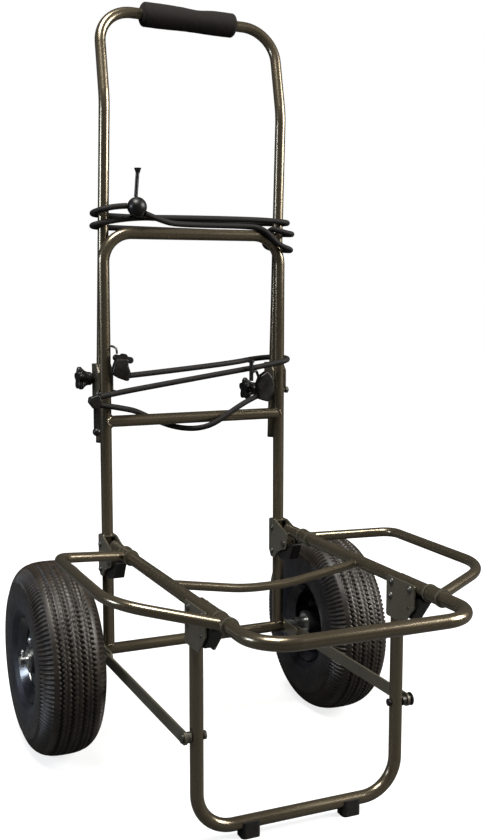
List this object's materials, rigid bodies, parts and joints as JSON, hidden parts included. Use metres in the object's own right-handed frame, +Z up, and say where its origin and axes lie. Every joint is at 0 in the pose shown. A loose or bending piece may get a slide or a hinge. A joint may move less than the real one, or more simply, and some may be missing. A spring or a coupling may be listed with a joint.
{
  "type": "folding game cart",
  "caption": "Folding two-wheeled game cart: telescoping U handle with foam grip, tube frame, fold-up platform on a hinged leg, swing-out side rests and elastic cords.",
  "frame": {"origin": "middle of the cart's bounding box at floor level, between tyre backs and platform front", "axes": "+Z up; +X to the right seen from the front (platform side); -Y forward, the way the platform reaches"},
  "size_m": [0.518, 0.646, 1.0314],
  "materials": {
    "frame_paint": "metallic olive-bronze gloss paint",
    "bracket_paint": "grey-olive painted sheet steel",
    "dark_steel": "black zinc plated",
    "zinc": "bright zinc plated",
    "tyre": "black moulded tread rubber",
    "rim": "black painted pressed steel",
    "hub": "silver",
    "black_rubber": "matt black",
    "foam": "soft black foam",
    "black_plastic": "moulded black",
    "cord": "black woven elastic cord"
  },
  "bodies": {
    "lower_frame": {"lower_hoop": "frame_paint", "cross_bar": "frame_paint", "axle_tube": "frame_paint", "wheel_axle": "zinc", "axle_spacers": "zinc", "axle_retainers": "zinc", "rear_brackets": "bracket_paint", "frame_bolts": "dark_steel", "brace_lugs": "bracket_paint", "clamp_bracket_left": "bracket_paint", "clamp_bracket_right": "bracket_paint", "top_cord": "cord", "top_ball": "black_plastic", "lower_cord": "cord", "slack_cord": "cord", "upper_hook": "black_plastic", "upper_hook_wire": "dark_steel", "lower_hook": "black_plastic", "right_hook": "black_plastic", "hook_toggle": "black_plastic"},
    "handle": {"handle_tube": "frame_paint", "foam_grip": "foam", "handle_plugs": "black_plastic"},
    "clamp_knob_left": {"clamp_knob_left": "black_plastic"},
    "clamp_knob_right": {"clamp_knob_right": "black_plastic"},
    "platform": {"platform_tube": "frame_paint", "bow_bar": "frame_paint", "rail_lugs": "frame_paint", "front_brackets": "bracket_paint", "front_bracket_pins": "dark_steel", "rail_rings": "black_plastic"},
    "leg": {"leg_tube": "frame_paint", "foot_pads": "black_rubber", "brace_spacers": "dark_steel", "brace_bolt_left": "dark_steel"},
    "leg_knob": {"leg_knob": "black_plastic"},
    "brace_left": {"brace_left": "bracket_paint"},
    "brace_right": {"brace_right": "bracket_paint"},
    "side_rest_left": {"side_rest_left": "frame_paint", "side_rest_sleeves_left": "frame_paint"},
    "side_rest_right": {"side_rest_right": "frame_paint", "side_rest_sleeves_right": "frame_paint"},
    "rear_lever_left": {"rear_lever_left": "black_plastic"},
    "rear_lever_right": {"rear_lever_right": "black_plastic"},
    "front_lever_left": {"front_lever_left": "black_plastic"},
    "front_lever_right": {"front_lever_right": "black_plastic"},
    "wheel_left": {"tyre_left": "tyre", "inner_tube_left": "black_rubber", "rim_halves_left": "rim", "hub_left": "hub", "bearings_left": "zinc", "rim_bolts_left": "zinc", "valve_stem_left": "black_rubber"},
    "wheel_right": {"tyre_right": "tyre", "inner_tube_right": "black_rubber", "rim_halves_right": "rim", "hub_right": "hub", "bearings_right": "zinc", "rim_bolts_right": "zinc", "valve_stem_right": "black_rubber"}
  },
  "joints": [
    {"name": "handle_slide", "type": "slide", "parent": "lower_frame", "child": "handle", "axis": [0.0244, 0, 0.9997], "range_m": [-0.12, 0]},
    {"name": "clamp_knob_left_turn", "type": "hinge", "parent": "lower_frame", "child": "clamp_knob_left", "pos_m": [-0.155, 0.2073, 0.514], "axis": [1, 0, 0], "range_deg": [0, 720]},
    {"name": "clamp_knob_right_turn", "type": "hinge", "parent": "lower_frame", "child": "clamp_knob_right", "pos_m": [0.09, 0.2073, 0.491], "axis": [1, 0, 0], "range_deg": [0, 720]},
    {"name": "platform_fold", "type": "hinge", "parent": "lower_frame", "child": "platform", "pos_m": [0, 0.153, 0.267], "axis": [-1, 0, 0], "range_deg": [0, 78]},
    {"name": "leg_fold", "type": "hinge", "parent": "platform", "child": "leg", "pos_m": [0, -0.144, 0.267], "axis": [-1, 0, 0], "range_deg": [-78, 0]},
    {"name": "brace_fold_left", "type": "hinge", "parent": "lower_frame", "child": "brace_left", "pos_m": [-0.147, 0.153, 0.132], "axis": [-1, 0, 0], "range_deg": [0, 78]},
    {"name": "brace_fold_right", "type": "hinge", "parent": "lower_frame", "child": "brace_right", "pos_m": [0.147, 0.153, 0.132], "axis": [-1, 0, 0], "range_deg": [0, 78]},
    {"name": "leg_knob_turn", "type": "hinge", "parent": "leg", "child": "leg_knob", "pos_m": [0.15, -0.144, 0.132], "axis": [1, 0, 0], "range_deg": [0, 720]},
    {"name": "side_rest_left_swing", "type": "hinge", "parent": "platform", "child": "side_rest_left", "pos_m": [-0.132, -0.059, 0.287], "axis": [0, 1, 0], "range_deg": [-10, 158]},
    {"name": "side_rest_right_swing", "type": "hinge", "parent": "platform", "child": "side_rest_right", "pos_m": [0.132, -0.059, 0.287], "axis": [0, -1, 0], "range_deg": [-10, 163]},
    {"name": "rear_lever_left_press", "type": "hinge", "parent": "lower_frame", "child": "rear_lever_left", "pos_m": [-0.132, 0.17, 0.252], "axis": [1, 0, 0], "range_deg": [0, 12], "stiffness_Nm_per_rad": 0.35},
    {"name": "rear_lever_right_press", "type": "hinge", "parent": "lower_frame", "child": "rear_lever_right", "pos_m": [0.132, 0.17, 0.252], "axis": [1, 0, 0], "range_deg": [0, 12], "stiffness_Nm_per_rad": 0.35},
    {"name": "front_lever_left_press", "type": "hinge", "parent": "platform", "child": "front_lever_left", "pos_m": [-0.132, -0.184, 0.262], "axis": [1, 0, 0], "range_deg": [0, 12], "stiffness_Nm_per_rad": 0.35},
    {"name": "front_lever_right_press", "type": "hinge", "parent": "platform", "child": "front_lever_right", "pos_m": [0.132, -0.184, 0.262], "axis": [1, 0, 0], "range_deg": [0, 12], "stiffness_Nm_per_rad": 0.35},
    {"name": "wheel_left_spin", "type": "hinge", "parent": "lower_frame", "child": "wheel_left", "pos_m": [-0.212, 0.191, 0.132], "axis": [1, 0, 0], "continuous": true},
    {"name": "wheel_right_spin", "type": "hinge", "parent": "lower_frame", "child": "wheel_right", "pos_m": [0.212, 0.191, 0.132], "axis": [1, 0, 0], "continuous": true}
  ],
  "couplings": [
    {"joint": "leg_fold", "follows": "platform_fold", "ratio": -1},
    {"joint": "brace_fold_left", "follows": "platform_fold", "ratio": 1},
    {"joint": "brace_fold_right", "follows": "platform_fold", "ratio": 1}
  ]
}
